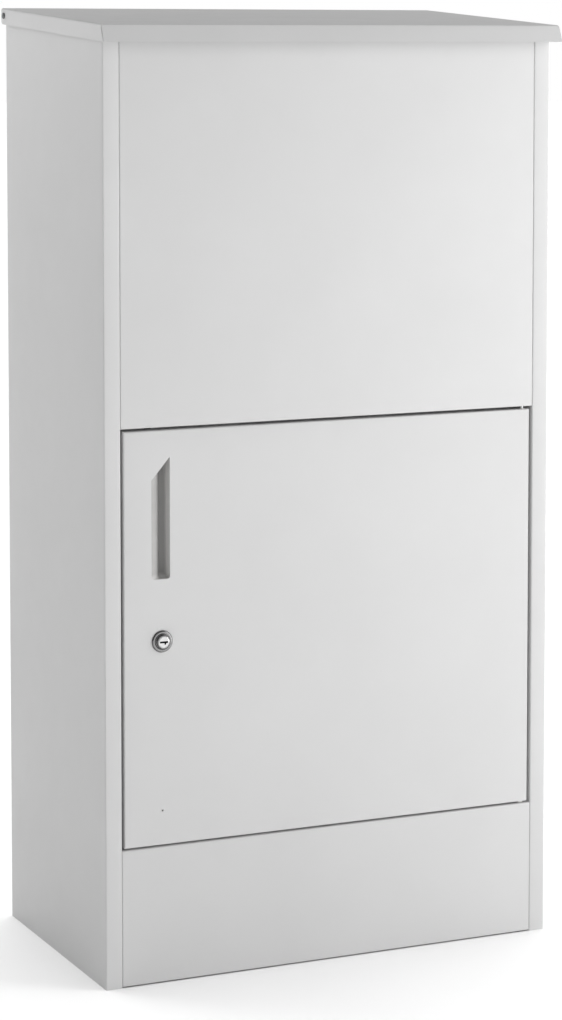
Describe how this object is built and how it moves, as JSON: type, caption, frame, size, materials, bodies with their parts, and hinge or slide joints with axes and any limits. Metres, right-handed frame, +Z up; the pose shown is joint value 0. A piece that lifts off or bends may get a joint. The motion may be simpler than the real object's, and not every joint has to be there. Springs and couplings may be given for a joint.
{
  "type": "parcel drop box",
  "caption": "Free-standing sheet-steel parcel drop box: sloping hinged lid over a drop chamber with a linked drop tray, and a lockable front door below.",
  "frame": {"origin": "centre of the cabinet's footprint, on the floor", "axes": "+X to the right seen from the front, +Y to the rear, +Z up; the front faces -Y"},
  "size_m": [0.5252, 0.3071, 1],
  "materials": {
    "powder_coat": "satin light grey powder coat with a fine texture",
    "inner_coat": "satin light grey powder coat, thinner inside",
    "zinc_steel": "bright zinc plate",
    "pivot_steel": "dark plated steel",
    "lock_chrome": "polished chrome plate",
    "grey_plastic": "fine moulded texture",
    "nylon": "natural white nylon",
    "rubber": "matt black rubber"
  },
  "bodies": {
    "cabinet": {"side_panel_left": "powder_coat", "side_panel_right": "powder_coat", "back_panel": "powder_coat", "base_panel": "inner_coat", "upper_front_panel": "powder_coat", "plinth_panel": "powder_coat", "panel_rivets": "zinc_steel", "cabinet_screws": "zinc_steel", "lid_pivot_pins": "pivot_steel", "lid_pivot_spacers": "nylon", "lid_pivot_nuts": "zinc_steel", "lid_buffers": "rubber", "tray_hinge_brackets": "zinc_steel", "tray_pivot_pins": "zinc_steel", "tray_pin_clips": "zinc_steel", "tray_buffers": "rubber", "door_hinge_pins": "zinc_steel", "door_buffers": "rubber"},
    "lid": {"lid_shell": "powder_coat", "lid_stiffener": "inner_coat", "lid_link_tabs": "zinc_steel", "link_pins_upper": "zinc_steel"},
    "link_left": {"link_rod_left": "zinc_steel"},
    "link_right": {"link_rod_right": "zinc_steel"},
    "tray": {"drop_tray": "inner_coat", "tray_crank_arms": "zinc_steel", "tray_rivets": "zinc_steel", "link_pins_lower": "zinc_steel"},
    "door": {"door_skin": "powder_coat", "door_stiffener": "inner_coat", "door_hinge_blocks": "nylon", "handle_cup": "grey_plastic", "lock_body": "lock_chrome", "lock_nut": "zinc_steel"},
    "lock_cylinder": {"lock_plug": "lock_chrome", "lock_cam": "zinc_steel", "cam_screw": "zinc_steel"}
  },
  "joints": [
    {"name": "lid_hinge", "type": "hinge", "parent": "cabinet", "child": "lid", "pos_m": [0, 0.135, 0.9917], "axis": [-1, 0, 0], "range_deg": [0, 85]},
    {"name": "tray_hinge", "type": "hinge", "parent": "cabinet", "child": "tray", "pos_m": [0, 0.13, 0.606], "axis": [-1, 0, 0], "range_deg": [0, 85]},
    {"name": "link_left_pivot", "type": "hinge", "parent": "lid", "child": "link_left", "pos_m": [-0.2475, 0.07862, 0.97118], "axis": [-1, 0, 0], "range_deg": [-85, 0]},
    {"name": "link_right_pivot", "type": "hinge", "parent": "lid", "child": "link_right", "pos_m": [0.2475, 0.07862, 0.97118], "axis": [-1, 0, 0], "range_deg": [-85, 0]},
    {"name": "door_hinge", "type": "hinge", "parent": "cabinet", "child": "door", "pos_m": [0.227, -0.138, 0.35775], "axis": [0, 0, 1], "range_deg": [0, 110]},
    {"name": "lock_turn", "type": "hinge", "parent": "door", "child": "lock_cylinder", "pos_m": [-0.1925, -0.144, 0.355], "axis": [0, 1, 0], "range_deg": [0, 90]}
  ],
  "couplings": [
    {"joint": "tray_hinge", "follows": "lid_hinge", "ratio": 1},
    {"joint": "link_left_pivot", "follows": "lid_hinge", "ratio": -1},
    {"joint": "link_right_pivot", "follows": "lid_hinge", "ratio": -1}
  ]
}
